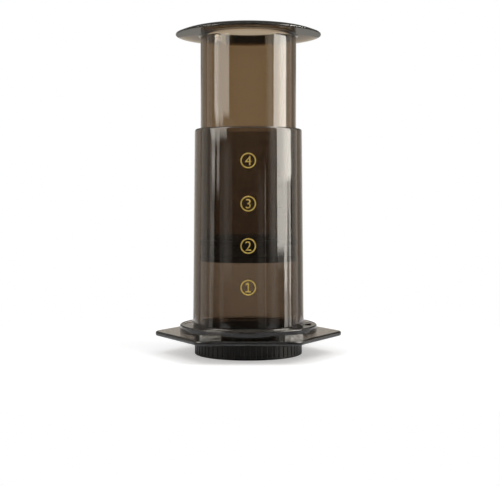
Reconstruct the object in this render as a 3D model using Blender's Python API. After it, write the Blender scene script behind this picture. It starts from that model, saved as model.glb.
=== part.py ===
"""Manual piston coffee press: a tinted tube chamber with a hexagonal flange, a hollow plunger
with a rubber seal, and a filter cap that locks under the chamber by a twist.

Metres, +Z up. z = 0 is the plane that the press stands on, under the filter cap, and the Z axis
is the axis of the bore. The figures side of the chamber faces -Y.
"""

import math

import bmesh
import bpy

# Fits shared by the pieces
FIT_GAP = 0.0003
NECK_CLEARANCE = 0.0005
CUT_OVERRUN = 0.002

# Chamber: bore, wall and heights
BORE_RADIUS = 0.0294
WALL_AT_TOP = 0.0028
WALL_AT_FOOT = 0.0038
TUBE_HEIGHT = 0.1168
TOP_EDGE_RADIUS = 0.0014
MOUTH_EDGE_RADIUS = 0.0005
LIP_WALL = 0.0012

# Chamber: hexagonal flange and the collar ring on it
FLANGE_THICKNESS = 0.0027
FLANGE_ACROSS_FLATS = 0.099
FLANGE_CORNER_RADIUS = 0.008
FLANGE_EDGE_RADIUS = 0.0011
COLLAR_WALL = 0.0059
COLLAR_HEIGHT = 0.0044
COLLAR_EDGE_RADIUS = 0.0007
COLLAR_RIM_WIDTH = 0.0015
COLLAR_GROOVE_DEPTH = 0.0007
FOOT_FILLET_RADIUS = 0.0006

# Filter cap: skirt, plate and twist lock
SKIRT_HEIGHT = 0.0107
CAP_WALL = 0.0013
CAP_EDGE_RADIUS = 0.0005
PLATE_THICKNESS = 0.0018
PLATE_RECESS = 0.0012
PLATE_RIM_WIDTH = 0.0022
GRIP_COUNT = 60
GRIP_RADIUS = 0.0008
GRIP_DEPTH = 0.0004
GRIP_MARGIN = 0.0011
HOLE_RADIUS = 0.0010
HOLE_RING_COUNT = 5
HOLE_RING_PITCH = 0.0051
HOLES_PER_STEP = 6
LUG_COUNT = 3
LUG_REACH = 0.0025
LUG_HEIGHT = 0.0020
LUG_ARC = math.radians(30)
LUG_PLAY = math.radians(2)
TWIST = math.radians(45)
WINDOW_ARC = math.radians(16)
WINDOW_WIDTH = 0.0044
WINDOW_SETBACK = 0.0008

# Paper disc in the cap
PAPER_THICKNESS = 0.0003

# Plunger: tube, floor, neck and top flange
PLUNGER_CLEARANCE_AT_TOP = 0.00065
PLUNGER_CLEARANCE_AT_FOOT = 0.00085
PLUNGER_WALL = 0.0022
PLUNGER_LENGTH = 0.1267
SEAL_REST_HEIGHT = 0.0521
PLUNGER_FLANGE_RADIUS = 0.04365
PLUNGER_RIM_THICKNESS = 0.0010
PLUNGER_DOME_RISE = 0.0035
PLUNGER_DOME_RADIUS = 0.040
PLUNGER_MOUTH_EDGE_RADIUS = 0.0009
PLUNGER_FILLET_RADIUS = 0.0016
NECK_SETBACK = 0.0050
BEAD_REACH = 0.0022
BEAD_HEIGHT = 0.0040
BEAD_EDGE_RADIUS = 0.0009

# Rubber seal on the plunger's neck
SEAL_HEIGHT = 0.0126
SEAL_FLOOR_THICKNESS = 0.0030
SEAL_LIP_HEIGHT = 0.0028
SEAL_WAIST_DEPTH = 0.0009
SEAL_EDGE_RADIUS = 0.0008
SEAL_CONE_DEPTH = 0.0016

# Facets of a full turn, a quarter fillet, the plunger's dome, a flange corner, a hole and a groove
TURN_STEPS = 64
FILLET_STEPS = 2
DOME_STEPS = 4
CORNER_STEPS = 6
HOLE_SIDES = 8
GRIP_SIDES = 6

# Levels, from the standing plane up
plate_bottom = PLATE_RECESS
plate_top = plate_bottom + PLATE_THICKNESS
paper_bottom = plate_top + FIT_GAP
paper_top = paper_bottom + PAPER_THICKNESS
lip_bottom = paper_top + FIT_GAP
flange_bottom = SKIRT_HEIGHT
flange_top = flange_bottom + FLANGE_THICKNESS
collar_top = flange_top + COLLAR_HEIGHT
chamber_top = collar_top + TUBE_HEIGHT
lug_bottom = flange_top + FIT_GAP
cap_top = lug_bottom + LUG_HEIGHT
channel_roof = cap_top + FIT_GAP
seal_bottom = paper_top + SEAL_REST_HEIGHT
seal_top = seal_bottom + SEAL_HEIGHT
plunger_shoulder = seal_top + FIT_GAP
plunger_bottom = seal_bottom + SEAL_FLOOR_THICKNESS + FIT_GAP
plunger_top = plunger_shoulder + PLUNGER_LENGTH

# Radii, from the bore out
lip_radius = BORE_RADIUS + LIP_WALL
cap_bore_radius = lip_radius + FIT_GAP
cap_radius = cap_bore_radius + CAP_WALL
neck_opening_radius = cap_radius + NECK_CLEARANCE
lug_radius = cap_radius + LUG_REACH
pocket_radius = lug_radius + NECK_CLEARANCE
chamber_foot_radius = BORE_RADIUS + WALL_AT_FOOT
chamber_top_radius = BORE_RADIUS + WALL_AT_TOP
collar_radius = pocket_radius + COLLAR_WALL
window_inner_radius = chamber_foot_radius + WINDOW_SETBACK
seal_radius = BORE_RADIUS - FIT_GAP
plunger_top_radius = BORE_RADIUS - PLUNGER_CLEARANCE_AT_TOP
plunger_foot_radius = BORE_RADIUS - PLUNGER_CLEARANCE_AT_FOOT
neck_radius = plunger_foot_radius - NECK_SETBACK
bead_radius = neck_radius + BEAD_REACH


def clear_scene():
    """Remove every object that is in the scene."""
    for obj in list(bpy.data.objects):
        bpy.data.objects.remove(obj, do_unlink=True)


def material(name, colour, roughness, alpha=1.0):
    """A Principled material with the piece's colour and roughness."""
    mat = bpy.data.materials.new(name)
    mat.use_nodes = True
    shader = mat.node_tree.nodes["Principled BSDF"]
    shader.inputs["Base Color"].default_value = (*colour, 1.0)
    shader.inputs["Roughness"].default_value = roughness
    shader.inputs["Metallic"].default_value = 0.0
    shader.inputs["Alpha"].default_value = alpha
    mat.diffuse_color = (*colour, 1.0)
    return mat


def add_object(name, mesh, mat=None):
    """Link a mesh to the scene as a named object."""
    obj = bpy.data.objects.new(name, mesh)
    bpy.context.scene.collection.objects.link(obj)
    if mat is not None:
        mesh.materials.append(mat)
    return obj


def quarter(centre_r, centre_z, radius, start, end):
    """Points of an arc in the profile plane, from one angle in degrees to another."""
    points = []
    for step in range(FILLET_STEPS + 1):
        angle = math.radians(start + (end - start) * step / FILLET_STEPS)
        points.append((centre_r + radius * math.cos(angle), centre_z + radius * math.sin(angle)))
    return points


def dome(inner_r, inner_z, outer_r, outer_z, radius):
    """Points of a shallow arc that falls from an inner point to an outer one, bulging upwards."""
    chord = math.hypot(outer_r - inner_r, inner_z - outer_z)
    fall = math.atan2(inner_z - outer_z, outer_r - inner_r)
    start = math.pi / 2 - fall + math.asin(chord / 2 / radius)
    end = math.pi / 2 - fall - math.asin(chord / 2 / radius)
    centre_r = inner_r - radius * math.cos(start)
    centre_z = inner_z - radius * math.sin(start)
    points = []
    for step in range(DOME_STEPS + 1):
        angle = start + (end - start) * step / DOME_STEPS
        points.append((centre_r + radius * math.cos(angle), centre_z + radius * math.sin(angle)))
    return points


def turned(name, profile, mat=None, closed=True):
    """Turn a profile of (radius, height) points, drawn down its outer side, about the Z axis."""
    mesh = bpy.data.meshes.new(name)
    edges = [(i, i + 1) for i in range(len(profile) - 1)]
    if closed:
        edges.append((len(profile) - 1, 0))
    mesh.from_pydata([(radius, 0.0, height) for radius, height in profile], edges, [])
    obj = add_object(name, mesh, mat)
    screw = obj.modifiers.new("Turn", "SCREW")
    screw.axis = "Z"
    screw.steps = TURN_STEPS
    screw.render_steps = TURN_STEPS
    screw.use_merge_vertices = True
    screw.merge_threshold = 0.000001
    screw.use_smooth_shade = True
    return obj


def arc_block(inner, outer, bottom, top, start, end):
    """Mesh of a block that follows an arc about the Z axis, between two angles in radians."""
    bm = bmesh.new()
    corners = [(inner, bottom), (outer, bottom), (outer, top), (inner, top)]
    ring = [bm.verts.new((r * math.cos(start), r * math.sin(start), z)) for r, z in corners]
    face = bm.faces.new(ring)
    steps = max(2, math.ceil((end - start) / (2 * math.pi) * TURN_STEPS))
    bmesh.ops.spin(bm, geom=[face, *face.edges, *ring], cent=(0, 0, 0), axis=(0, 0, 1),
                   angle=end - start, steps=steps, use_duplicate=False)
    bmesh.ops.recalc_face_normals(bm, faces=bm.faces)
    return bm


def cutter(name, parts):
    """Join bmesh shapes into one hidden tool object for a Boolean."""
    mesh = bpy.data.meshes.new(name)
    joined = bmesh.new()
    for part in parts:
        part.to_mesh(mesh)
        joined.from_mesh(mesh)
        part.free()
    joined.to_mesh(mesh)
    joined.free()
    obj = add_object(name, mesh)
    return hide_tool(obj)


def hide_tool(obj):
    """Mark an object as a tool: drawn as wire and left out of the model."""
    obj.hide_render = True
    obj.display_type = "WIRE"
    return obj


def combine(target, tool, operation):
    """Cut or join a tool object with a Boolean modifier."""
    boolean = target.modifiers.new(tool.name, "BOOLEAN")
    boolean.object = tool
    boolean.operation = operation
    boolean.solver = "EXACT"


def bar(radius, bottom, top, sides, centre_x, centre_y):
    """Mesh of a round bar along Z."""
    bm = bmesh.new()
    bmesh.ops.create_cone(bm, cap_ends=True, segments=sides, radius1=radius, radius2=radius,
                          depth=top - bottom)
    bmesh.ops.translate(bm, verts=bm.verts, vec=(centre_x, centre_y, (top + bottom) / 2))
    return bm


def hexagon_outline(across_flats, corner_radius):
    """Rounded hexagon with corners on +X and -X."""
    corner_distance = across_flats / 2 / math.cos(math.pi / 6)
    centre_distance = corner_distance - corner_radius / math.cos(math.pi / 6)
    points = []
    for corner in range(6):
        direction = corner * math.pi / 3
        for step in range(CORNER_STEPS + 1):
            angle = direction - math.pi / 6 + math.pi / 3 * step / CORNER_STEPS
            points.append((centre_distance * math.cos(direction) + corner_radius * math.cos(angle),
                           centre_distance * math.sin(direction) + corner_radius * math.sin(angle)))
    return points


def sectors(count, offset_start, offset_end):
    """Start and end angles of one arc in each of the equal sectors about the axis."""
    for index in range(count):
        direction = 2 * math.pi * index / count
        yield direction + offset_start, direction + offset_end


def make_chamber():
    """Tube, lip, collar and hexagonal flange, with the twist lock's pockets and windows."""
    groove_floor = collar_top - COLLAR_GROOVE_DEPTH
    groove_radius = collar_radius - COLLAR_RIM_WIDTH
    profile = []
    profile += quarter(chamber_top_radius - TOP_EDGE_RADIUS, chamber_top - TOP_EDGE_RADIUS,
                       TOP_EDGE_RADIUS, 90, 0)
    profile += quarter(chamber_foot_radius + FOOT_FILLET_RADIUS, groove_floor + FOOT_FILLET_RADIUS,
                       FOOT_FILLET_RADIUS, 180, 270)
    profile += [(groove_radius, groove_floor), (groove_radius, collar_top)]
    profile += quarter(collar_radius - COLLAR_EDGE_RADIUS, collar_top - COLLAR_EDGE_RADIUS,
                       COLLAR_EDGE_RADIUS, 90, 0)
    profile += [(collar_radius, flange_bottom), (neck_opening_radius, flange_bottom)]
    profile += [(neck_opening_radius, channel_roof), (lip_radius, channel_roof)]
    profile += [(lip_radius, lip_bottom), (BORE_RADIUS, lip_bottom)]
    profile += quarter(BORE_RADIUS + MOUTH_EDGE_RADIUS, chamber_top - MOUTH_EDGE_RADIUS,
                       MOUTH_EDGE_RADIUS, 180, 90)
    tint = material("smoked_tritan", (0.16, 0.12, 0.09), 0.08, 0.55)
    chamber = turned("chamber", profile, tint)
    combine(chamber, make_hexagon_plate(), "UNION")

    pocket_start = -TWIST - LUG_ARC / 2 - LUG_PLAY
    pocket_end = LUG_ARC / 2 + LUG_PLAY
    way_in_end = -TWIST + LUG_ARC / 2 + LUG_PLAY
    inside_channel = (lip_radius + neck_opening_radius) / 2
    pockets = []
    for start, end in sectors(LUG_COUNT, pocket_start, pocket_end):
        pockets.append(arc_block(inside_channel, pocket_radius, flange_top, channel_roof, start, end))
    combine(chamber, cutter("lug_pockets", pockets), "DIFFERENCE")

    ways_in = []
    for start, end in sectors(LUG_COUNT, pocket_start, way_in_end):
        ways_in.append(arc_block(inside_channel, pocket_radius, flange_bottom - CUT_OVERRUN,
                                 (flange_top + channel_roof) / 2, start, end))
    combine(chamber, cutter("lug_ways_in", ways_in), "DIFFERENCE")

    windows = []
    for start, end in sectors(LUG_COUNT, -WINDOW_ARC / 2, WINDOW_ARC / 2):
        windows.append(arc_block(window_inner_radius, window_inner_radius + WINDOW_WIDTH, flange_top,
                                 collar_top + CUT_OVERRUN, start, end))
    combine(chamber, cutter("collar_windows", windows), "DIFFERENCE")
    return chamber


def make_hexagon_plate():
    """The flange's plate, open in the middle, with rounded corners and edges."""
    hole_radius = (pocket_radius + collar_radius) / 2
    bm = bmesh.new()
    outer = [bm.verts.new((x, y, flange_bottom))
             for x, y in hexagon_outline(FLANGE_ACROSS_FLATS, FLANGE_CORNER_RADIUS)]
    bm.faces.new(outer)
    swept = bmesh.ops.extrude_face_region(bm, geom=list(bm.faces))
    lifted = [item for item in swept["geom"] if isinstance(item, bmesh.types.BMVert)]
    bmesh.ops.translate(bm, verts=lifted, vec=(0, 0, FLANGE_THICKNESS))
    bmesh.ops.recalc_face_normals(bm, faces=bm.faces)
    mesh = bpy.data.meshes.new("hexagon_plate")
    bm.to_mesh(mesh)
    bm.free()
    plate = add_object("hexagon_plate", mesh)
    edge = plate.modifiers.new("Rounded edge", "BEVEL")
    edge.width = FLANGE_EDGE_RADIUS
    edge.segments = FILLET_STEPS
    edge.limit_method = "ANGLE"
    edge.angle_limit = math.radians(60)
    opening = cutter("plate_opening", [bar(hole_radius, flange_bottom - CUT_OVERRUN,
                                           flange_top + CUT_OVERRUN, TURN_STEPS, 0, 0)])
    combine(plate, opening, "DIFFERENCE")
    return hide_tool(plate)


def make_filter_cap():
    """Perforated plate in a ribbed skirt, with lugs at the top of the skirt."""
    profile = quarter(cap_radius - CAP_EDGE_RADIUS, cap_top - CAP_EDGE_RADIUS, CAP_EDGE_RADIUS, 90, 0)
    profile += quarter(cap_radius - CAP_EDGE_RADIUS, CAP_EDGE_RADIUS, CAP_EDGE_RADIUS, 0, -90)
    profile += [(cap_radius - PLATE_RIM_WIDTH, 0), (cap_radius - PLATE_RIM_WIDTH, plate_bottom)]
    profile += [(0, plate_bottom), (0, plate_top)]
    profile += [(cap_bore_radius, plate_top), (cap_bore_radius, cap_top)]
    black = material("black_polypropylene", (0.022, 0.024, 0.022), 0.42)
    cap = turned("filter_cap", profile, black)

    lugs = []
    for start, end in sectors(LUG_COUNT, -LUG_ARC / 2, LUG_ARC / 2):
        lugs.append(arc_block(cap_radius - CAP_WALL / 2, lug_radius, lug_bottom, cap_top, start, end))
    combine(cap, cutter("lugs", lugs), "UNION")

    grips = []
    grip_circle = cap_radius + GRIP_RADIUS - GRIP_DEPTH
    for index in range(GRIP_COUNT):
        angle = 2 * math.pi * (index + 0.5) / GRIP_COUNT
        grips.append(bar(GRIP_RADIUS, GRIP_MARGIN, flange_bottom - GRIP_MARGIN, GRIP_SIDES,
                         grip_circle * math.cos(angle), grip_circle * math.sin(angle)))
    combine(cap, cutter("grip_grooves", grips), "DIFFERENCE")

    holes = [hole(0, 0)]
    for ring in range(1, HOLE_RING_COUNT + 1):
        for index in range(HOLES_PER_STEP * ring):
            angle = 2 * math.pi * index / (HOLES_PER_STEP * ring)
            radius = HOLE_RING_PITCH * ring
            holes.append(hole(radius * math.cos(angle), radius * math.sin(angle)))
    combine(cap, cutter("plate_holes", holes), "DIFFERENCE")
    return cap


def hole(centre_x, centre_y):
    """Mesh that drills one hole of the perforated plate."""
    return bar(HOLE_RADIUS, plate_bottom - CUT_OVERRUN, plate_top + CUT_OVERRUN, HOLE_SIDES,
               centre_x, centre_y)


def make_paper_filter():
    """Thin paper disc that lies on the plate and under the chamber's lip."""
    radius = cap_bore_radius - FIT_GAP
    profile = [(0, paper_top), (radius, paper_top), (radius, paper_bottom), (0, paper_bottom)]
    return turned("paper_filter", profile, material("filter_paper", (0.82, 0.80, 0.74), 0.9))


def make_plunger():
    """Hollow tube, open at the top, with a round flange above and a beaded neck below."""
    rim_top = plunger_top - PLUNGER_DOME_RISE
    flange_underside = rim_top - PLUNGER_RIM_THICKNESS
    rim = PLUNGER_RIM_THICKNESS / 2
    mouth = PLUNGER_MOUTH_EDGE_RADIUS
    fillet = PLUNGER_FILLET_RADIUS
    bead_top = plunger_bottom + BEAD_HEIGHT
    inner_top = plunger_top_radius - PLUNGER_WALL
    inner_foot = plunger_foot_radius - PLUNGER_WALL
    inner_neck = neck_radius - PLUNGER_WALL
    floor_top = plunger_shoulder + PLUNGER_WALL
    profile = dome(inner_top + mouth, plunger_top, PLUNGER_FLANGE_RADIUS - rim, rim_top,
                   PLUNGER_DOME_RADIUS)
    profile += quarter(PLUNGER_FLANGE_RADIUS - rim, rim_top - rim, rim, 45, 0)
    profile += quarter(PLUNGER_FLANGE_RADIUS - rim, flange_underside + rim, rim, 0, -90)[1:]
    profile += quarter(plunger_top_radius + fillet, flange_underside - fillet, fillet, 90, 180)
    profile += [(plunger_foot_radius, plunger_shoulder), (neck_radius, plunger_shoulder)]
    profile += [(neck_radius, bead_top + BEAD_REACH)]
    profile += quarter(bead_radius - BEAD_EDGE_RADIUS, bead_top - BEAD_EDGE_RADIUS,
                       BEAD_EDGE_RADIUS, 45, 0)
    profile += quarter(bead_radius - BEAD_EDGE_RADIUS, plunger_bottom + BEAD_EDGE_RADIUS,
                       BEAD_EDGE_RADIUS, 0, -90)
    profile += [(0, plunger_bottom), (0, plunger_bottom + PLUNGER_WALL)]
    profile += [(inner_neck, plunger_bottom + PLUNGER_WALL), (inner_neck, floor_top)]
    profile += [(inner_foot, floor_top)]
    profile += quarter(inner_top + mouth, plunger_top - mouth, mouth, 180, 90)[:-1]
    tint = material("smoked_tritan_plunger", (0.18, 0.14, 0.10), 0.08, 0.55)
    return turned("plunger", profile, tint)


def make_plunger_seal():
    """Rubber cup that snaps over the neck's bead, with two lips and a shallow cone below."""
    waist_radius = seal_radius - SEAL_WAIST_DEPTH
    edge = SEAL_EDGE_RADIUS
    bead_top = plunger_bottom + BEAD_HEIGHT
    bead_space = bead_radius + FIT_GAP
    neck_space = neck_radius + FIT_GAP
    cone_tip = seal_bottom - SEAL_CONE_DEPTH
    profile = [(seal_radius - edge, seal_top)]
    profile += quarter(seal_radius - edge, seal_top - edge, edge, 90, 0)[1:]
    profile += [(seal_radius, seal_top - SEAL_LIP_HEIGHT)]
    profile += [(waist_radius, seal_top - SEAL_LIP_HEIGHT - SEAL_WAIST_DEPTH)]
    profile += [(waist_radius, seal_bottom + SEAL_LIP_HEIGHT + SEAL_WAIST_DEPTH)]
    profile += [(seal_radius, seal_bottom + SEAL_LIP_HEIGHT)]
    profile += quarter(seal_radius - edge, seal_bottom + edge, edge, 0, -90)
    profile += [(0, cone_tip), (0, plunger_bottom - FIT_GAP)]
    profile += [(bead_space, plunger_bottom - FIT_GAP), (bead_space, bead_top + FIT_GAP)]
    profile += [(neck_space, bead_top + BEAD_REACH + FIT_GAP), (neck_space, seal_top)]
    return turned("plunger_seal", profile, material("black_rubber", (0.02, 0.02, 0.019), 0.6))


clear_scene()
make_chamber()
make_filter_cap()
make_paper_filter()
make_plunger()
make_plunger_seal()
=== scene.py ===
import math

import bpy
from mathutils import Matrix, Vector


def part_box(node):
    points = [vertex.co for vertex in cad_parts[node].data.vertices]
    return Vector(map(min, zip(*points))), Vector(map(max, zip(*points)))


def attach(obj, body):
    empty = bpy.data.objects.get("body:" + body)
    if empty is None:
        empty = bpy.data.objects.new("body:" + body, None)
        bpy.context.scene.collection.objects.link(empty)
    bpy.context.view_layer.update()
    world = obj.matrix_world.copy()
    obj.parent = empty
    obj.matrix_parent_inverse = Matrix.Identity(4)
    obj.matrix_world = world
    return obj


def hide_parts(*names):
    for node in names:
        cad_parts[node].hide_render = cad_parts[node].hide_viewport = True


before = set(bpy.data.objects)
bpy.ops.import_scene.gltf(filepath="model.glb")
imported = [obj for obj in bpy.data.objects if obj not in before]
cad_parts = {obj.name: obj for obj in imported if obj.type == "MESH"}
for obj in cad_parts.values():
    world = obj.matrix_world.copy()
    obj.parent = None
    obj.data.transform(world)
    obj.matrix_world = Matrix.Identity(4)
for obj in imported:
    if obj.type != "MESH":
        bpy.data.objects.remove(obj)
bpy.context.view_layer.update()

# The chamber's tube: one clear moulding in smoke-tinted copolyester, a straight bore in a wall that
# thins a little towards the mouth. A thin lip under it presses on the paper disc, and a low collar
# ring with a shallow groove stands round its foot. It is injection moulded and polished.
BORE_RADIUS = 0.0294
TUBE_HEIGHT = 0.1168
TUBE_WALL_AT_TOP = 0.0028
TUBE_WALL_AT_FOOT = 0.0038
TOP_EDGE_RADIUS = 0.0014
MOUTH_EDGE_RADIUS = 0.0005
LIP_WALL = 0.0012
LIP_EDGE_RADIUS = 0.0003
FOOT_FILLET_RADIUS = 0.0006
COLLAR_RADIUS = 0.0411
COLLAR_HEIGHT = 0.0044
COLLAR_RIM_WIDTH = 0.0015
COLLAR_GROOVE_DEPTH = 0.0007
COLLAR_EDGE_RADIUS = 0.0007
COLLAR_INNER_EDGE_RADIUS = 0.0003
FLANGE_THICKNESS = 0.0027
LUG_REACH = 0.0025
FIT_GAP = 0.0003
NECK_CLEARANCE = 0.0005

TURN_STEPS = 256
ARC_STEPS = 8
SMALL_ARC_STEPS = 4
SEED_SIZE = 0.001
MERGE_DISTANCE = 0.000001

chamber_low, chamber_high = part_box("chamber")
cap_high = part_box("filter_cap")[1]
lip_bottom = chamber_low.z
chamber_top = chamber_high.z
cap_top = cap_high.z
lip_radius = BORE_RADIUS + LIP_WALL
tube_foot_radius = BORE_RADIUS + TUBE_WALL_AT_FOOT
tube_top_radius = BORE_RADIUS + TUBE_WALL_AT_TOP
lug_radius = cap_high.x
cap_radius = lug_radius - LUG_REACH
neck_opening_radius = cap_radius + NECK_CLEARANCE
channel_roof = cap_top + FIT_GAP
collar_top = chamber_top - TUBE_HEIGHT
flange_top = collar_top - COLLAR_HEIGHT
flange_bottom = flange_top - FLANGE_THICKNESS
groove_floor = collar_top - COLLAR_GROOVE_DEPTH
groove_radius = COLLAR_RADIUS - COLLAR_RIM_WIDTH


def arc(radius, height, bend, start, end, steps=ARC_STEPS):
    """Points of a rounded corner of a section, about its centre, between two angles in degrees."""
    angles = [math.radians(start + (end - start) * step / steps) for step in range(steps + 1)]
    return [(radius + bend * math.cos(angle), height + bend * math.sin(angle)) for angle in angles]


def draw_out(move):
    """Extrudes what is selected along a move."""
    bpy.ops.mesh.extrude_region_move(TRANSFORM_OT_translate={"value": move})


def drawn(name, section):
    """Draws a single point out along a section of (radius, height) points, left in edit mode."""
    bpy.ops.object.select_all(action="DESELECT")
    bpy.ops.mesh.primitive_plane_add(size=SEED_SIZE)
    piece = bpy.context.object
    piece.name = name
    piece.data.name = name
    bpy.ops.object.mode_set(mode="EDIT")
    bpy.ops.mesh.select_mode(type="VERT")
    bpy.ops.mesh.select_all(action="SELECT")
    bpy.ops.mesh.merge(type="CENTER")
    bpy.ops.transform.translate(value=(section[0][0], 0, section[0][1]))
    for here, there in zip(section, section[1:]):
        draw_out((there[0] - here[0], 0, there[1] - here[1]))
    bpy.ops.mesh.select_all(action="SELECT")
    bpy.ops.mesh.remove_doubles(threshold=MERGE_DISTANCE)
    return piece


def close_up():
    """Merges what a spin left double, turns the faces outwards and leaves edit mode."""
    bpy.ops.mesh.select_all(action="SELECT")
    bpy.ops.mesh.remove_doubles(threshold=MERGE_DISTANCE)
    bpy.ops.mesh.normals_make_consistent(inside=False)
    bpy.ops.object.mode_set(mode="OBJECT")


def turned(name, section, steps=TURN_STEPS):
    """A solid of revolution: the section spun once about the bore's axis."""
    piece = drawn(name, section)
    bpy.ops.mesh.spin(steps=steps, angle=math.tau, center=(0, 0, 0), axis=(0, 0, 1))
    close_up()
    return piece


section = arc(tube_top_radius - TOP_EDGE_RADIUS, chamber_top - TOP_EDGE_RADIUS,
              TOP_EDGE_RADIUS, 90, 0)
section += arc(tube_foot_radius + FOOT_FILLET_RADIUS, groove_floor + FOOT_FILLET_RADIUS,
               FOOT_FILLET_RADIUS, 180, 270)
section += [(groove_radius, groove_floor)]
section += arc(groove_radius + COLLAR_INNER_EDGE_RADIUS, collar_top - COLLAR_INNER_EDGE_RADIUS,
               COLLAR_INNER_EDGE_RADIUS, 180, 90, SMALL_ARC_STEPS)
section += arc(COLLAR_RADIUS - COLLAR_EDGE_RADIUS, collar_top - COLLAR_EDGE_RADIUS,
               COLLAR_EDGE_RADIUS, 90, 0)
section += [(COLLAR_RADIUS, flange_bottom), (neck_opening_radius, flange_bottom)]
section += [(neck_opening_radius, channel_roof), (lip_radius, channel_roof)]
section += arc(lip_radius - LIP_EDGE_RADIUS, lip_bottom + LIP_EDGE_RADIUS,
               LIP_EDGE_RADIUS, 0, -90, SMALL_ARC_STEPS)
section += arc(BORE_RADIUS + LIP_EDGE_RADIUS, lip_bottom + LIP_EDGE_RADIUS,
               LIP_EDGE_RADIUS, -90, -180, SMALL_ARC_STEPS)
section += arc(BORE_RADIUS + MOUTH_EDGE_RADIUS, chamber_top - MOUTH_EDGE_RADIUS,
               MOUTH_EDGE_RADIUS, 180, 90, SMALL_ARC_STEPS)
section += section[:1]
chamber = turned("chamber_shell", section)

# The chamber's hexagonal flange: a flat plate moulded in one with the tube, with well rounded
# corners and a nearly full-round edge.
HEXAGON_SIDES = 6
HEXAGON_CORNER_RADIUS = 0.008
FLANGE_EDGE_RADIUS = 0.0011
PLATE_OVERLAP = 0.003
CORNER_STEPS = 16
EDGE_STEPS = 8

across_flats = chamber_high.y - chamber_low.y
corner_distance = across_flats / 2 / math.cos(math.pi / HEXAGON_SIDES)
corner_cut = HEXAGON_CORNER_RADIUS * math.tan(math.pi / HEXAGON_SIDES)
plate_place = (0, 0, (flange_bottom + flange_top) / 2)


def settle():
    """Puts the place and the turn of the selected object into its mesh."""
    bpy.ops.object.transform_apply(location=True, rotation=True, scale=True)


def pick_edges(piece, holds):
    """Selects the edges whose two ends pass a test, and stays in edit mode."""
    bpy.ops.object.mode_set(mode="EDIT")
    bpy.ops.mesh.select_mode(type="EDGE")
    bpy.ops.mesh.select_all(action="DESELECT")
    bpy.ops.object.mode_set(mode="OBJECT")
    points = piece.data.vertices
    for edge in piece.data.edges:
        ends = [points[index].co for index in edge.vertices]
        edge.select = holds(*ends)
    bpy.ops.object.mode_set(mode="EDIT")


def combine(piece, tool, operation):
    """Joins or cuts a piece with a tool, which is used up."""
    boolean = piece.modifiers.new(tool.name, "BOOLEAN")
    boolean.operation = operation
    boolean.object = tool
    boolean.solver = "EXACT"
    bpy.context.view_layer.objects.active = piece
    bpy.ops.object.modifier_apply(modifier=boolean.name)
    bpy.data.objects.remove(tool)


bpy.ops.object.select_all(action="DESELECT")
bpy.ops.mesh.primitive_cylinder_add(vertices=HEXAGON_SIDES, radius=corner_distance,
                                    depth=FLANGE_THICKNESS, location=plate_place,
                                    rotation=(0, 0, math.pi / 2))
settle()
plate = bpy.context.object
plate.name = "hexagon_plate"
pick_edges(plate, lambda a, b: abs(a.z - b.z) > FLANGE_THICKNESS / 2)
bpy.ops.mesh.bevel(offset=corner_cut, segments=CORNER_STEPS)
pick_edges(plate, lambda a, b: abs(a.z - b.z) < FLANGE_THICKNESS / 2)
bpy.ops.mesh.bevel(offset=FLANGE_EDGE_RADIUS, segments=EDGE_STEPS)
bpy.ops.object.mode_set(mode="OBJECT")

bpy.ops.object.select_all(action="DESELECT")
bpy.ops.mesh.primitive_cylinder_add(vertices=TURN_STEPS, radius=COLLAR_RADIUS - PLATE_OVERLAP,
                                    depth=2 * FLANGE_THICKNESS, location=plate_place)
combine(plate, bpy.context.object, "DIFFERENCE")
combine(chamber, plate, "UNION")

# The lock's pockets and windows: three ledges in the collar hold the cap's lugs, three ways in let
# them up from below, and a slot over each ledge shows the lug. Core pins leave them in the
# moulding.
LUG_COUNT = 3
LUG_ARC = math.radians(30)
LUG_PLAY = math.radians(2)
TWIST = math.radians(45)
WINDOW_ARC = math.radians(16)
WINDOW_WIDTH = 0.0044
WINDOW_SETBACK = 0.0008
CUT_OVERRUN = 0.002
CREASE_ANGLE = math.radians(32)

pocket_radius = lug_radius + NECK_CLEARANCE
pocket_start = -TWIST - LUG_ARC / 2 - LUG_PLAY
pocket_end = LUG_ARC / 2 + LUG_PLAY
way_in_end = -TWIST + LUG_ARC / 2 + LUG_PLAY
way_in_top = (flange_top + channel_roof) / 2
inside_channel = (lip_radius + neck_opening_radius) / 2
window_inner_radius = tube_foot_radius + WINDOW_SETBACK


def arc_block(name, inner, outer, bottom, top, start, end):
    """A block that follows the collar: a square section, spun clockwise from its end."""
    corners = [(inner, bottom), (outer, bottom), (outer, top), (inner, top), (inner, bottom)]
    block = drawn(name, corners)
    bpy.ops.mesh.edge_face_add()
    steps = math.ceil((end - start) / math.tau * TURN_STEPS)
    bpy.ops.mesh.spin(steps=steps, angle=end - start, center=(0, 0, 0), axis=(0, 0, 1))
    close_up()
    block.rotation_euler.z = end
    settle()
    return block


def smooth(piece):
    """Shades a piece smooth up to its creases, with its flat faces kept flat."""
    bpy.ops.object.select_all(action="DESELECT")
    piece.select_set(True)
    bpy.context.view_layer.objects.active = piece
    bpy.ops.object.shade_smooth_by_angle(angle=CREASE_ANGLE)
    weighted = piece.modifiers.new("Flat faces", "WEIGHTED_NORMAL")
    weighted.keep_sharp = True
    bpy.ops.object.modifier_apply(modifier=weighted.name)


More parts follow.
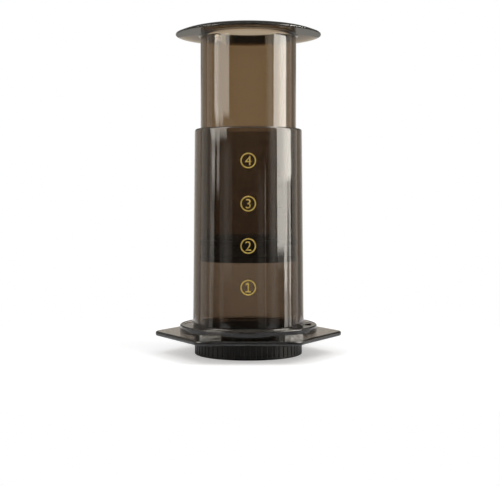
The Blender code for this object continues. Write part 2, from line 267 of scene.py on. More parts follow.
for index in range(LUG_COUNT):
    turn = math.tau * index / LUG_COUNT
    pocket = arc_block("lug_pocket", inside_channel, pocket_radius, flange_top, channel_roof,
                       turn + pocket_start, turn + pocket_end)
    combine(chamber, pocket, "DIFFERENCE")
    way_in = arc_block("lug_way_in", inside_channel, pocket_radius, flange_bottom - CUT_OVERRUN,
                       way_in_top, turn + pocket_start, turn + way_in_end)
    combine(chamber, way_in, "DIFFERENCE")
    window = arc_block("collar_window", window_inner_radius, window_inner_radius + WINDOW_WIDTH,
                       flange_top, collar_top + CUT_OVERRUN,
                       turn - WINDOW_ARC / 2, turn + WINDOW_ARC / 2)
    combine(chamber, window, "DIFFERENCE")
smooth(chamber)

# Smoke-tinted copolyester: clear, with the tint in its depth, so that a thick edge is darker than
# a wall. Its polish has a slow ripple from the mould and fine scratches along the stroke.
CHAMBER_TINT = (0.486, 0.40, 0.30)
CHAMBER_TINT_DENSITY = 625
CLEAR_IOR = 1.52
CLEAR_ROUGHNESS = 0.015
RIPPLE_SIZE = 0.022
RIPPLE_STRETCH = (1, 1, 0.4)
RIPPLE_STRENGTH = 0.05
RIPPLE_HEIGHT = 0.0006
SCRATCH_SIZE = 0.0004
SCRATCH_STRETCH = (1, 1, 0.03)
SCRATCH_RANGE = (0.62, 0.78)
SCRATCH_ROUGHNESS = 0.05
HAZE_SIZE = 0.012
HAZE_ROUGHNESS = 0.02
WHITE = (1, 1, 1, 1)


class Shade:
    """One output of a node tree. Sums on it add Math nodes, and add() makes every other node."""

    def __init__(self, tree, socket=None):
        self.tree = tree
        self.socket = socket

    def add(self, kind, sockets=None, output=0, **settings):
        """A node of a kind, with its settings first, then the values or links of its sockets."""
        node = self.tree.nodes.new("ShaderNode" + kind)
        for name, value in settings.items():
            setattr(node, name, value)
        for name, value in (sockets or {}).items():
            if isinstance(value, Shade):
                self.tree.links.new(value.socket, node.inputs[name])
            else:
                node.inputs[name].default_value = value
        return Shade(self.tree, node.outputs[output] if node.outputs else None)

    def output(self, name):
        """Another output of the same node."""
        return Shade(self.tree, self.socket.node.outputs[name])

    def maths(self, operation, *values):
        return self.add("Math", dict(enumerate(values)), operation=operation)

    def __add__(self, other):
        return self.maths("ADD", self, other)

    def __radd__(self, other):
        return self.maths("ADD", other, self)

    def __sub__(self, other):
        return self.maths("SUBTRACT", self, other)

    def __rsub__(self, other):
        return self.maths("SUBTRACT", other, self)

    def __mul__(self, other):
        return self.maths("MULTIPLY", self, other)

    def rise(self, low, high):
        """0 below low, 1 above high, and a smooth step between them."""
        return self.add("MapRange", {"Value": self, "From Min": low, "From Max": high},
                        interpolation_type="SMOOTHSTEP")


def new_material(name):
    """An empty material and the start of its nodes."""
    material = bpy.data.materials.new(name)
    material.use_nodes = True
    material.node_tree.nodes.clear()
    return material, Shade(material.node_tree)


def noise(shade, size, detail=2.0, stretch=(1, 1, 1)):
    """Noise from 0 to 1, fixed to the piece, in patches about a size across, in metres."""
    place = shade.add("TexCoord", output="Object")
    place = shade.add("Mapping", {"Vector": place, "Scale": stretch}, vector_type="POINT")
    return shade.add("TexNoise", {"Vector": place, "Scale": 1 / size, "Detail": detail},
                     output="Fac")


def smoke_plastic(name, tint, density):
    """Clear plastic that takes up part of the light on its way through the wall."""
    material, shade = new_material(name)
    ripple = noise(shade, RIPPLE_SIZE, stretch=RIPPLE_STRETCH)
    scratch = noise(shade, SCRATCH_SIZE, 3, SCRATCH_STRETCH).rise(*SCRATCH_RANGE)
    haze = noise(shade, HAZE_SIZE, 4)
    relief = shade.add("Bump", {"Height": ripple, "Strength": RIPPLE_STRENGTH,
                                "Distance": RIPPLE_HEIGHT})
    roughness = CLEAR_ROUGHNESS + haze * HAZE_ROUGHNESS + scratch * SCRATCH_ROUGHNESS
    surface = shade.add("BsdfPrincipled", {"Base Color": WHITE, "Roughness": roughness,
                                           "IOR": CLEAR_IOR, "Transmission Weight": 1.0,
                                           "Normal": relief})
    volume = shade.add("VolumeAbsorption", {"Color": (*tint, 1), "Density": density})
    shade.add("OutputMaterial", {"Surface": surface, "Volume": volume})
    return material


chamber.data.materials.append(smoke_plastic("smoke_chamber", CHAMBER_TINT, CHAMBER_TINT_DENSITY))
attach(chamber, "chamber")
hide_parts("chamber")

# The circled figures 1 to 4 up the front of the tube, a scale for how far to fill it. They are
# printed on the polished wall in gold ink, and stand proud by the ink alone.
FIGURE_HEIGHTS = {"1": 0.0420, "2": 0.0658, "3": 0.0900, "4": 0.1147}
FIGURE_SIZE = 0.0078
RING_RADIUS = 0.0045
RING_STROKE = 0.00078
RING_SIDES = 96
STROKE = 0.0008
STEM_HEIGHT = 0.0056
FOOT_WIDTH = 0.0031
FLAG_REACH = 0.0011
FLAG_DROP = 0.0010
PRINT_DISTANCE = 0.05
INK_THICKNESS = 0.00005
INK_GAP = 0.00002
INK_STRIPS = 24
DARK_GOLD = (0.34, 0.24, 0.045)
LIGHT_GOLD = (0.64, 0.465, 0.125)
INK_ROUGHNESS = 0.38
INK_METALLIC = 0.35
FLAKE_SIZE = 0.00012
FLAKE_STRENGTH = 0.3
FLAKE_HEIGHT = 0.00002
FLAKE_ROUGHNESS = 0.2
WEAR_SIZE = 0.0011
WEAR_RANGE = (0.35, 0.7)
WEAR_SHARE = 0.6


def printed_one(height):
    """The figure 1: a foot bar, a stem up from its middle and a flag down from the stem's top."""
    foot = height - (STEM_HEIGHT - STROKE) / 2
    bpy.ops.object.select_all(action="DESELECT")
    bpy.ops.mesh.primitive_plane_add(size=STROKE, location=(0, -PRINT_DISTANCE, foot),
                                     rotation=(math.pi / 2, 0, 0))
    settle()
    figure = bpy.context.object
    half = STROKE / 2
    near = STROKE / 10
    for side in (-1, 1):
        pick_edges(figure, lambda a, b: max(abs(a.x - side * half), abs(b.x - side * half)) < near)
        draw_out((side * (FOOT_WIDTH - STROKE) / 2, 0, 0))
    top = foot + half
    for rise in (STEM_HEIGHT - STROKE - FLAG_DROP, FLAG_DROP):
        pick_edges(figure, lambda a, b: max(abs(a.x), abs(b.x)) < half + near
                   and min(a.z, b.z) > top - near)
        draw_out((0, 0, rise))
        top += rise
    pick_edges(figure, lambda a, b: max(a.x, b.x) < near - half
               and min(a.z, b.z) > top - FLAG_DROP - near)
    draw_out((-FLAG_REACH, 0, -FLAG_DROP / 2))
    bpy.ops.object.mode_set(mode="OBJECT")
    return figure


def printed_digit(digit, height):
    """Another figure, from the plain built-in letters."""
    bpy.ops.object.select_all(action="DESELECT")
    bpy.ops.object.text_add(rotation=(math.pi / 2, 0, 0))
    letter = bpy.context.object
    letter.data.body = digit
    letter.data.size = FIGURE_SIZE
    letter.data.resolution_u = ARC_STEPS
    bpy.ops.object.convert(target="MESH")
    figure = bpy.context.object
    points = figure.bound_box
    middle_x = (min(p[0] for p in points) + max(p[0] for p in points)) / 2
    middle_y = (min(p[1] for p in points) + max(p[1] for p in points)) / 2
    figure.location = (-middle_x, -PRINT_DISTANCE, height - middle_y)
    settle()
    return figure


def printed_ring(height):
    """The ring round a figure: a circle drawn in to a narrower one."""
    place = (0, -PRINT_DISTANCE, height)
    inward = 1 - RING_STROKE / RING_RADIUS
    bpy.ops.object.select_all(action="DESELECT")
    bpy.ops.mesh.primitive_circle_add(vertices=RING_SIDES, radius=RING_RADIUS, fill_type="NOTHING",
                                      location=place, rotation=(math.pi / 2, 0, 0))
    settle()
    ring = bpy.context.object
    bpy.ops.object.mode_set(mode="EDIT")
    bpy.ops.mesh.select_all(action="SELECT")
    bpy.ops.mesh.extrude_region_move()
    bpy.ops.transform.resize(value=(inward, 1, inward), center_override=place)
    bpy.ops.object.mode_set(mode="OBJECT")
    return ring


def print_on(figure):
    """Cuts a flat figure into strips, lays it on the tube's wall and gives it the ink's body."""
    bpy.ops.object.mode_set(mode="EDIT")
    for strip in range(1, INK_STRIPS):
        cut = RING_RADIUS * (2 * strip / INK_STRIPS - 1)
        bpy.ops.mesh.select_all(action="SELECT")
        bpy.ops.mesh.bisect(plane_co=(cut, 0, 0), plane_no=(1, 0, 0))
    bpy.ops.mesh.select_all(action="SELECT")
    bpy.ops.mesh.remove_doubles(threshold=MERGE_DISTANCE)
    bpy.ops.object.mode_set(mode="OBJECT")
    for polygon in figure.data.polygons:
        if polygon.normal.y > 0:
            polygon.flip()
    laid = figure.modifiers.new("Laid on", "SHRINKWRAP")
    laid.wrap_method = "PROJECT"
    laid.use_project_y = True
    laid.use_positive_direction = True
    laid.wrap_mode = "ON_SURFACE"
    laid.target = chamber
    laid.offset = INK_GAP
    bpy.ops.object.modifier_apply(modifier=laid.name)
    body = figure.modifiers.new("Ink", "SOLIDIFY")
    body.thickness = INK_THICKNESS
    body.offset = 1
    bpy.ops.object.modifier_apply(modifier=body.name)


def blend(shade, share, first, second):
    """A colour between two others."""
    return shade.add("Mix", {0: share, 6: (*first, 1), 7: (*second, 1)}, output=2,
                     data_type="RGBA")


def gold_ink():
    """Gold printing ink: a warm pigment with fine flakes, thinner in places."""
    material, shade = new_material("gold_ink")
    flakes = noise(shade, FLAKE_SIZE, 3)
    wear = noise(shade, WEAR_SIZE, 3).rise(*WEAR_RANGE)
    colour = blend(shade, wear * WEAR_SHARE + flakes * (1 - WEAR_SHARE), DARK_GOLD, LIGHT_GOLD)
    relief = shade.add("Bump", {"Height": flakes, "Strength": FLAKE_STRENGTH,
                                "Distance": FLAKE_HEIGHT})
    roughness = INK_ROUGHNESS + flakes * FLAKE_ROUGHNESS
    surface = shade.add("BsdfPrincipled", {"Base Color": colour, "Roughness": roughness,
                                           "Metallic": INK_METALLIC, "Normal": relief})
    shade.add("OutputMaterial", {"Surface": surface})
    return material


ink = gold_ink()
for digit, height in FIGURE_HEIGHTS.items():
    figure = printed_one(height) if digit == "1" else printed_digit(digit, height)
    ring = printed_ring(height)
    bpy.ops.object.select_all(action="DESELECT")
    ring.select_set(True)
    figure.select_set(True)
    bpy.context.view_layer.objects.active = figure
    bpy.ops.object.join()
    figure.name = "figure_" + digit
    figure.data.name = figure.name
    print_on(figure)
    figure.data.materials.append(ink)
    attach(figure, "chamber")

# The plunger: one clear moulding in the same plastic, an open tube that slides in the bore, with a
# wide round flange to press on, which domes up to the mouth. Its lower end steps in to a neck with
# a bead that holds the seal.
PLUNGER_WALL = 0.0022
PLUNGER_CLEARANCE_AT_TOP = 0.00065
PLUNGER_CLEARANCE_AT_FOOT = 0.00085
PLUNGER_RIM_THICKNESS = 0.0010
PLUNGER_DOME_RISE = 0.0035
PLUNGER_DOME_RADIUS = 0.040
PLUNGER_MOUTH_EDGE_RADIUS = 0.0009
PLUNGER_FILLET_RADIUS = 0.0016
SHOULDER_EDGE_RADIUS = 0.0004
INSIDE_CORNER_RADIUS = 0.0008
NECK_SETBACK = 0.0050
BEAD_REACH = 0.0022
BEAD_HEIGHT = 0.0040
BEAD_EDGE_RADIUS = 0.0009
BEAD_SLOPE = 45
DOME_STEPS = 24
PLUNGER_TINT = (0.504, 0.379, 0.184)
PLUNGER_TINT_DENSITY = 820

plunger_low, plunger_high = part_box("plunger")
seal_low, seal_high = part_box("plunger_seal")
plunger_top = plunger_high.z
plunger_bottom = plunger_low.z
plunger_flange_radius = plunger_high.x
plunger_shoulder = seal_high.z + FIT_GAP
plunger_top_radius = BORE_RADIUS - PLUNGER_CLEARANCE_AT_TOP
plunger_foot_radius = BORE_RADIUS - PLUNGER_CLEARANCE_AT_FOOT
neck_radius = plunger_foot_radius - NECK_SETBACK
bead_radius = neck_radius + BEAD_REACH
bead_top = plunger_bottom + BEAD_HEIGHT
inner_top = plunger_top_radius - PLUNGER_WALL
inner_foot = plunger_foot_radius - PLUNGER_WALL
inner_neck = neck_radius - PLUNGER_WALL
neck_floor = plunger_bottom + PLUNGER_WALL
tube_floor = plunger_shoulder + PLUNGER_WALL
rim_top = plunger_top - PLUNGER_DOME_RISE
flange_underside = rim_top - PLUNGER_RIM_THICKNESS

rim = PLUNGER_RIM_THICKNESS / 2
mouth = PLUNGER_MOUTH_EDGE_RADIUS
fillet = PLUNGER_FILLET_RADIUS
shoulder = SHOULDER_EDGE_RADIUS
corner = INSIDE_CORNER_RADIUS
bead = BEAD_EDGE_RADIUS
dome = PLUNGER_DOME_RADIUS
dome_width = plunger_flange_radius - rim - inner_top - mouth
dome_chord = math.hypot(dome_width, PLUNGER_DOME_RISE)
dome_fall = math.degrees(math.atan2(PLUNGER_DOME_RISE, dome_width))
dome_half = math.degrees(math.asin(dome_chord / 2 / dome))
dome_start = 90 - dome_fall + dome_half
dome_end = 90 - dome_fall - dome_half
dome_centre_radius = inner_top + mouth - dome * math.cos(math.radians(dome_start))
dome_centre_height = plunger_top - dome * math.sin(math.radians(dome_start))

section = arc(dome_centre_radius, dome_centre_height, dome, dome_start, dome_end, DOME_STEPS)
section += arc(plunger_flange_radius - rim, rim_top - rim, rim, dome_end, 0)
section += arc(plunger_flange_radius - rim, flange_underside + rim, rim, 0, -90)[1:]
section += arc(plunger_top_radius + fillet, flange_underside - fillet, fillet, 90, 180)
section += arc(plunger_foot_radius - shoulder, plunger_shoulder + shoulder, shoulder,
               0, -90, SMALL_ARC_STEPS)
section += [(neck_radius, plunger_shoulder), (neck_radius, bead_top + BEAD_REACH)]
section += arc(bead_radius - bead, bead_top - bead, bead, BEAD_SLOPE, 0)
section += arc(bead_radius - bead, plunger_bottom + bead, bead, 0, -90)
section += [(0, plunger_bottom), (0, neck_floor)]
section += arc(inner_neck - corner, neck_floor + corner, corner, -90, 0)
section += arc(inner_neck + corner, tube_floor - corner, corner, 180, 90)
section += arc(inner_foot - corner, tube_floor + corner, corner, -90, 0)
section += arc(inner_top + mouth, plunger_top - mouth, mouth, 180, 90)[:-1]
section += section[:1]
plunger = turned("plunger_shell", section)
smooth(plunger)
plunger.data.materials.append(smoke_plastic("smoke_plunger", PLUNGER_TINT, PLUNGER_TINT_DENSITY))
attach(plunger, "plunger")
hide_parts("plunger")

# The rubber seal: a black moulded cup snapped over the plunger's bead, with a lip at each end of
# its side, a waist between them and a shallow cone below. It is matt, with a bloom from the mould.
SEAL_LIP_HEIGHT = 0.0028
SEAL_WAIST_DEPTH = 0.0009
SEAL_EDGE_RADIUS = 0.0008
SEAL_CONE_DEPTH = 0.0016
RUBBER_BLACK = (0.012, 0.012, 0.011)
RUBBER_BLOOM = (0.045, 0.044, 0.041)
RUBBER_ROUGHNESS = 0.55
BLOOM_SIZE = 0.006
BLOOM_RANGE = (0.45, 0.8)
BLOOM_SHARE = 0.5
BLOOM_ROUGHNESS = 0.15
RUBBER_GRAIN_SIZE = 0.00025
RUBBER_GRAIN_STRENGTH = 0.35
RUBBER_GRAIN_HEIGHT = 0.00005

seal_radius = seal_high.x
seal_top = seal_high.z
cone_tip = seal_low.z
seal_bottom = cone_tip + SEAL_CONE_DEPTH
waist_radius = seal_radius - SEAL_WAIST_DEPTH
bead_space = bead_radius + FIT_GAP
neck_space = neck_radius + FIT_GAP
cup_floor = plunger_bottom - FIT_GAP
edge = SEAL_EDGE_RADIUS
section = arc(seal_radius - edge, seal_top - edge, edge, 90, 0)
section += [(seal_radius, seal_top - SEAL_LIP_HEIGHT)]
section += [(waist_radius, seal_top - SEAL_LIP_HEIGHT - SEAL_WAIST_DEPTH)]
section += [(waist_radius, seal_bottom + SEAL_LIP_HEIGHT + SEAL_WAIST_DEPTH)]
section += [(seal_radius, seal_bottom + SEAL_LIP_HEIGHT)]
section += arc(seal_radius - edge, seal_bottom + edge, edge, 0, -90)
section += [(0, cone_tip), (0, cup_floor)]
section += [(bead_space, cup_floor), (bead_space, bead_top + FIT_GAP)]
section += [(neck_space, bead_top + BEAD_REACH + FIT_GAP), (neck_space, seal_top)]
section += section[:1]
seal = turned("rubber_seal", section)
smooth(seal)


def black_rubber():
    """Black moulded rubber: matt, with a pale bloom and a fine grain."""
    material, shade = new_material("black_rubber")
    bloom = noise(shade, BLOOM_SIZE, 5).rise(*BLOOM_RANGE)
    grain = noise(shade, RUBBER_GRAIN_SIZE, 3)
    colour = blend(shade, bloom * BLOOM_SHARE, RUBBER_BLACK, RUBBER_BLOOM)
    relief = shade.add("Bump", {"Height": grain, "Strength": RUBBER_GRAIN_STRENGTH,
                                "Distance": RUBBER_GRAIN_HEIGHT})
    roughness = RUBBER_ROUGHNESS + bloom * BLOOM_ROUGHNESS
    surface = shade.add("BsdfPrincipled", {"Base Color": colour, "Roughness": roughness,
                                           "Normal": relief})
    shade.add("OutputMaterial", {"Surface": surface})
    return material


seal.data.materials.append(black_rubber())
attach(seal, "seal")
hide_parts("plunger_seal")

# The filter cap: one moulding in black polypropylene, a shallow cup with a perforated plate, a
# ribbed skirt to turn it by and three lugs that lock in the collar. Its satin comes from the
# mould.
CAP_WALL = 0.0013
CAP_EDGE_RADIUS = 0.0005
PLATE_THICKNESS = 0.0018
PLATE_RECESS = 0.0012
PLATE_RIM_WIDTH = 0.0022
LUG_HEIGHT = 0.0020
GRIP_COUNT = 60
GRIP_RADIUS = 0.0008
GRIP_DEPTH = 0.0004
GRIP_MARGIN = 0.0011
GRIP_SIDES = 20
HOLE_RADIUS = 0.0010
HOLE_SIDES = 24
HOLE_RING_COUNT = 5
HOLE_RING_PITCH = 0.0051
HOLES_PER_STEP = 6
CAP_STEPS = 180
CAP_BLACK = (0.0045, 0.0043, 0.004)
CAP_GREY = (0.013, 0.0125, 0.0115)
CAP_ROUGHNESS = 0.34
CAP_SPECULAR = 0.2
RUB_SIZE = 0.009
RUB_RANGE = (0.4, 0.8)
RUB_SHARE = 0.7
RUB_ROUGHNESS = 0.14
CAP_GRAIN_SIZE = 0.0003
CAP_GRAIN_STRENGTH = 0.25
CAP_GRAIN_HEIGHT = 0.00004

plate_bottom = PLATE_RECESS
plate_top = plate_bottom + PLATE_THICKNESS
plate_rim_radius = cap_radius - PLATE_RIM_WIDTH
cap_bore_radius = cap_radius - CAP_WALL
grip_circle = cap_radius + GRIP_RADIUS - GRIP_DEPTH
bend = CAP_EDGE_RADIUS
section = arc(cap_radius - bend, cap_top - bend, bend, 90, 0)
section += arc(cap_radius - bend, bend, bend, 0, -90)
section += [(plate_rim_radius, 0), (plate_rim_radius, plate_bottom)]
section += [(0, plate_bottom), (0, plate_top)]
section += [(cap_bore_radius, plate_top), (cap_bore_radius, cap_top)]
section += section[:1]
cap = turned("filter_cap_shell", section, CAP_STEPS)

for index in range(LUG_COUNT):
    turn = math.tau * index / LUG_COUNT
    lug = arc_block("cap_lug", cap_radius - CAP_WALL / 2, lug_radius, cap_top - LUG_HEIGHT, cap_top,
                    turn - LUG_ARC / 2, turn + LUG_ARC / 2)
    combine(cap, lug, "UNION")


def ring_of_bars(name, count, circle, radius, sides, bottom, top, first=0.0):
    """Upright bars on a circle about the axis: one is added, and the rest are its spun copies."""
    bpy.ops.object.select_all(action="DESELECT")
    place = (circle * math.cos(first), circle * math.sin(first), (bottom + top) / 2)
    bpy.ops.mesh.primitive_cylinder_add(vertices=sides, radius=radius, depth=top - bottom,
                                        location=place, rotation=(0, 0, first))
    settle()
    bars = bpy.context.object
    bars.name = name
    if count > 1:
        bpy.ops.object.mode_set(mode="EDIT")
        bpy.ops.mesh.select_all(action="SELECT")
        bpy.ops.mesh.spin(steps=count - 1, dupli=True, angle=math.tau * (count - 1) / count,
                          center=(0, 0, 0), axis=(0, 0, 1))
        bpy.ops.object.mode_set(mode="OBJECT")
    return bars


grips = ring_of_bars("grip_grooves", GRIP_COUNT, grip_circle, GRIP_RADIUS, GRIP_SIDES,
                     GRIP_MARGIN, flange_bottom - GRIP_MARGIN, math.pi / GRIP_COUNT)
combine(cap, grips, "DIFFERENCE")
for ring in range(HOLE_RING_COUNT + 1):
    holes = ring_of_bars("plate_holes", max(1, HOLES_PER_STEP * ring), HOLE_RING_PITCH * ring,
                         HOLE_RADIUS, HOLE_SIDES,
                         plate_bottom - CUT_OVERRUN, plate_top + CUT_OVERRUN)
    combine(cap, holes, "DIFFERENCE")
smooth(cap)


def black_polypropylene():
    """Black polypropylene with a fine satin grain, a little greyer where it is handled."""
    material, shade = new_material("black_polypropylene")
    grain = noise(shade, CAP_GRAIN_SIZE)
    rub = noise(shade, RUB_SIZE, 4).rise(*RUB_RANGE)
    colour = blend(shade, rub * RUB_SHARE, CAP_BLACK, CAP_GREY)
    relief = shade.add("Bump", {"Height": grain, "Strength": CAP_GRAIN_STRENGTH,
                                "Distance": CAP_GRAIN_HEIGHT})
    roughness = CAP_ROUGHNESS + rub * RUB_ROUGHNESS
    surface = shade.add("BsdfPrincipled", {"Base Color": colour, "Roughness": roughness,
                                           "Specular IOR Level": CAP_SPECULAR, "Normal": relief})
    shade.add("OutputMaterial", {"Surface": surface})
    return material


cap.data.materials.append(black_polypropylene())
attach(cap, "cap")
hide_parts("filter_cap")

# The paper disc: a thin round of white filter paper that lies on the plate. It is punched from
# sheet paper, with long fibres in every direction.
PAPER_DARK = (0.66, 0.63, 0.56)
PAPER_LIGHT = (0.88, 0.86, 0.80)
PAPER_ROUGHNESS = 0.9
FIBRE_SIZE = 0.0012
FIBRE_STRETCHES = ((1, 0.12, 1), (0.12, 1, 1))
FIBRE_SHARE = 0.35
FIBRE_STRENGTH = 0.5
FIBRE_HEIGHT = 0.0001
CLOUD_SIZE = 0.003
CLOUD_SHARE = 0.3

paper_low, paper_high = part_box("paper_filter")
paper_edge = (paper_high.z - paper_low.z) / 2
section = [(0, paper_high.z)]
section += arc(paper_high.x - paper_edge, paper_low.z + paper_edge, paper_edge, 90, -90)
section += [(0, paper_low.z)]
paper = turned("paper_disc", section)
smooth(paper)


def filter_paper():
    """Unglazed white paper with fibres and small clouds."""
    material, shade = new_material("filter_paper")
    fibres = [noise(shade, FIBRE_SIZE, 3, stretch) for stretch in FIBRE_STRETCHES]
    cloud = noise(shade, CLOUD_SIZE, 3)
    weave = (fibres[0] + fibres[1]) * FIBRE_SHARE + cloud * CLOUD_SHARE
    colour = blend(shade, weave, PAPER_DARK, PAPER_LIGHT)
    relief = shade.add("Bump", {"Height": weave, "Strength": FIBRE_STRENGTH,
                                "Distance": FIBRE_HEIGHT})
    surface = shade.add("BsdfPrincipled", {"Base Color": colour, "Roughness": PAPER_ROUGHNESS,
                                           "Normal": relief})
    shade.add("OutputMaterial", {"Surface": surface})
    return material


paper.data.materials.append(filter_paper())
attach(paper, "cap")
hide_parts("paper_filter")

# The floor: a plain white sheet that keeps the object's shadow. From below it is clear, so that
# the underside shows.
FLOOR_SIZE = 0.36
FLOOR_GAP = 0.00005
FLOOR_COLOUR = (0.8, 0.8, 0.8, 1)
FLOOR_GLOW = 0.4
FLOOR_SHEEN = 0.35

bpy.ops.object.select_all(action="DESELECT")
bpy.ops.mesh.primitive_plane_add(size=FLOOR_SIZE, location=(0, 0, -FLOOR_GAP))
settle()
floor = bpy.context.object
floor.name = "floor"
material, shade = new_material("white_sheet")
camera_ray = shade.add("LightPath", output="Is Camera Ray")
through_ray = camera_ray.output("Is Transmission Ray")
gloss_ray = camera_ray.output("Is Glossy Ray")
seen = camera_ray + through_ray + gloss_ray * FLOOR_SHEEN
sheet = shade.add("BsdfDiffuse", {"Color": FLOOR_COLOUR})
glow = shade.add("Emission", {"Color": WHITE, "Strength": seen * FLOOR_GLOW})
both = shade.add("AddShader", {0: sheet, 1: glow})
from_below = shade.add("NewGeometry", output="Backfacing")
clear = shade.add("BsdfTransparent")
surface = shade.add("MixShader", {0: from_below, 1: both, 2: clear})
shade.add("OutputMaterial", {"Surface": surface})
floor.data.materials.append(material)

# The studio: a white surround, with softboxes at both sides that show only as gloss. Directions
# are in degrees about the axis, from the front towards the right, and above the level.
SURROUND = 0.65
GLOSS_COLOUR = (1, 0.955, 0.87, 1)
DARK_FRONT = 0.06
BACK_WALL = 0.38
BACK_WALL_STARTS = (102, 128)
OVERHEAD_SHADE = 0.85
OVERHEAD_STARTS = (128, 140)
OVERHEAD_ABOVE = (8, 10)
BACK_LIGHT = 0.35
BACK_LIGHT_STARTS = (140, 160)
BACK_LIGHT_ENDS_ABOVE = (5, 7)
CEILING = 0.9
CEILING_ABOVE = (44, 56)
FRONT_CEILING_ABOVE = (12, 24)
FRONT_ENDS = (50, 100)
STRIP_TOP = 60
STRIP_FOOT = -12

# Strength, left, right, bottom and top of each strip of light, and how soft its sides and ends are
STRIPS = [
    (8.8, 63, 102.5, 1.75, STRIP_TOP, 1.2, 0.3),
    (3.0, 78, 102.5, 1.75, STRIP_TOP, 9, 0.3),
    (8.8, 63, 89.5, -1.8, 1.75, 1.2, 0.4),
    (5.0, 89.5, 95, 0.1, 1.75, 1.2, 0.6),
    (2.4, 89, 95, -1.8, 0.1, 1, 0.6),
    (5.8, 95, 100.5, -4.2, 1.75, 1, 0.5),
    (3.4, 95, 100.5, STRIP_FOOT, -4.2, 1, 0.5),
    (8.0, 80.5, 88.5, -3.9, -1.8, 1, 0.4),
    (4.2, 80.5, 88.5, STRIP_FOOT, -3.9, 1, 0.4),
    (1.4, 88.5, 95, STRIP_FOOT, -1.8, 1, 0.5),
    (1.0, 64, 79.5, -2.7, -1.8, 1.2, 0.4),
    (1.2, 47, 63, -2, STRIP_TOP, 8, 1),
    (0.6, 47, 63, STRIP_FOOT, -2, 8, 1),
    (0.7, 104, 127, STRIP_FOOT, STRIP_TOP, 2, 1),
    (1.8, 34.6, 37.0, -0.8, 2.6, 0.6, 0.8),
    (0.7, 34.6, 37.0, STRIP_FOOT, -0.8, 0.6, 0.8),
    (0.3, 20, 32, STRIP_FOOT, 2.2, 3, 0.8),
    (0.35, -40, 40, STRIP_FOOT, -6.2, 14, 0.6),
    (4.5, -88.5, -46.5, 4.3, STRIP_TOP, 1.2, 0.3),
    (1.5, -88.5, -76, 4.3, STRIP_TOP, 4, 0.3),
    (3.8, -86, -63, 3.9, 4.3, 1.2, 0.3),
    (4.8, -83.5, -75, 1.6, 3.9, 1.2, 1.4),
    (1.6, -84.5, -76, -2.6, 0.9, 1, 1.5),
    (0.8, -84.5, -78, STRIP_FOOT, -2.6, 1, 1),
    (3.0, -70, -63.5, 1.4, 3.9, 1, 0.9),
    (1.0, -88.5, -84, STRIP_FOOT, 3.9, 1, 0.5),
    (0.35, -62, -52, STRIP_FOOT, 3.9, 1, 1),
    (0.65, -52, -42, -3, 3.9, 2, 1),
    (0.4, -42, -34, -3, 3.9, 2, 0.8),
    (0.35, -96, -88.5, STRIP_FOOT, STRIP_TOP, 1, 1),
    (0.7, -101, -96, STRIP_FOOT, STRIP_TOP, 1, 1),
    (0.8, -118, -101, STRIP_FOOT, STRIP_TOP, 2, 1),
    (0.18, -150, -122, STRIP_FOOT, STRIP_TOP, 6, 1),
]

world = bpy.data.worlds.new("studio")
bpy.context.scene.world = world
world.use_nodes = True
world.cycles.sampling_method = "NONE"
world.node_tree.nodes.clear()
shade = Shade(world.node_tree)
direction = shade.add("TexCoord", output="Generated")
sideways = shade.add("SeparateXYZ", {0: direction}, output="X")
forwards = sideways.output("Y") * -1
round_axis = shade.maths("ARCTAN2", sideways, forwards) * math.degrees(1)
above = shade.maths("ARCSINE", sideways.output("Z")) * math.degrees(1)


def softbox(strength, left, right, bottom, top, soft, fade):
    """The light of one softbox, with soft ends in both directions."""
    wide = round_axis.rise(left - soft, left + soft) - round_axis.rise(right - soft, right + soft)
    high = above.rise(bottom - fade, bottom + fade) - above.rise(top - fade, top + fade)
    return wide * high * strength


turned_away = shade.maths("ABSOLUTE", round_axis)
near_level = 1 - shade.maths("ABSOLUTE", above).rise(*BACK_LIGHT_ENDS_ABOVE)
in_front = 1 - turned_away.rise(*FRONT_ENDS)
overhead = turned_away.rise(*OVERHEAD_STARTS) * above.rise(*OVERHEAD_ABOVE)
back_wall = turned_away.rise(*BACK_WALL_STARTS) * (BACK_WALL - DARK_FRONT)
gloss = DARK_FRONT + back_wall * (1 - overhead * OVERHEAD_SHADE)
gloss = gloss + turned_away.rise(*BACK_LIGHT_STARTS) * near_level * BACK_LIGHT
front_ceiling = above.rise(*FRONT_CEILING_ABOVE) * in_front
gloss = gloss + shade.maths("MAXIMUM", above.rise(*CEILING_ABOVE), front_ceiling) * CEILING
for strip in STRIPS:
    gloss = gloss + softbox(*strip)

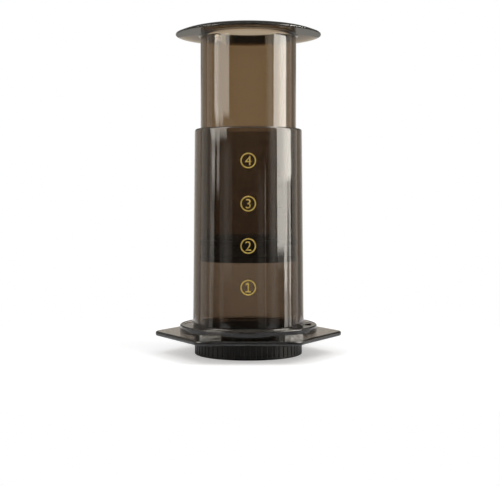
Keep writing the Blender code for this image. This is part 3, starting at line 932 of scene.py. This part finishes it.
camera_ray = shade.add("LightPath", output="Is Camera Ray")
seen = shade.maths("MAXIMUM", camera_ray, camera_ray.output("Is Transmission Ray"))
shiny = camera_ray.output("Is Glossy Ray") * (1 - seen)
plain = shade.add("Background", {"Color": WHITE, "Strength": seen + (1 - seen) * SURROUND})
warm = shade.add("Background", {"Color": GLOSS_COLOUR, "Strength": gloss})
surface = shade.add("MixShader", {0: shiny, 1: plain, 2: warm})
shade.add("OutputWorld", {"Surface": surface})

# Two lamps above, out of sight, for the soft shadow on the floor and the modelling of the cap.
# Their light is even and soft, and it adds no gloss of its own.
LAMP_DISTANCE = 1.1
LAMP_SIZE = 0.6


def lamp(name, azimuth, elevation, strength):
    """A square lamp that looks at the object from two angles in degrees."""
    around = math.radians(azimuth)
    up = math.radians(elevation)
    data = bpy.data.lights.new(name, "AREA")
    data.shape = "SQUARE"
    data.size = LAMP_SIZE
    data.energy = strength
    light = bpy.data.objects.new(name, data)
    bpy.context.scene.collection.objects.link(light)
    light.location = (LAMP_DISTANCE * math.sin(around) * math.cos(up),
                      -LAMP_DISTANCE * math.cos(around) * math.cos(up),
                      LAMP_DISTANCE * math.sin(up))
    light.rotation_euler = (math.pi / 2 - up, 0, around)
    light.visible_camera = False
    light.visible_glossy = False
    light.visible_transmission = False


lamp("lamp_right", 60, 55, 3.0)
lamp("lamp_left", -50, 60, 2.0)

# The camera: level and straight on, a little above the middle of the chamber's height. Its frame
# is shifted down, so that the object's upright edges stay upright.
CAMERA_DISTANCE = 0.655
CAMERA_HEIGHT = 0.0921
CAMERA_SIDE = 0.001
PHOTO_WIDTH = 500
PHOTO_HEIGHT = 486
FOCAL_PIXELS = 1088
HORIZON_ROW = 200
SENSOR_WIDTH = 36.0

data = bpy.data.cameras.new("camera")
data.sensor_width = SENSOR_WIDTH
data.lens = FOCAL_PIXELS / PHOTO_WIDTH * SENSOR_WIDTH
data.shift_y = (HORIZON_ROW - PHOTO_HEIGHT / 2) / PHOTO_WIDTH
camera = bpy.data.objects.new("camera", data)
camera.location = (CAMERA_SIDE, -CAMERA_DISTANCE, CAMERA_HEIGHT)
camera.rotation_euler = (math.pi / 2, 0, 0)
bpy.context.scene.collection.objects.link(camera)
bpy.context.scene.camera = camera
bpy.context.scene.view_settings.view_transform = "Standard"
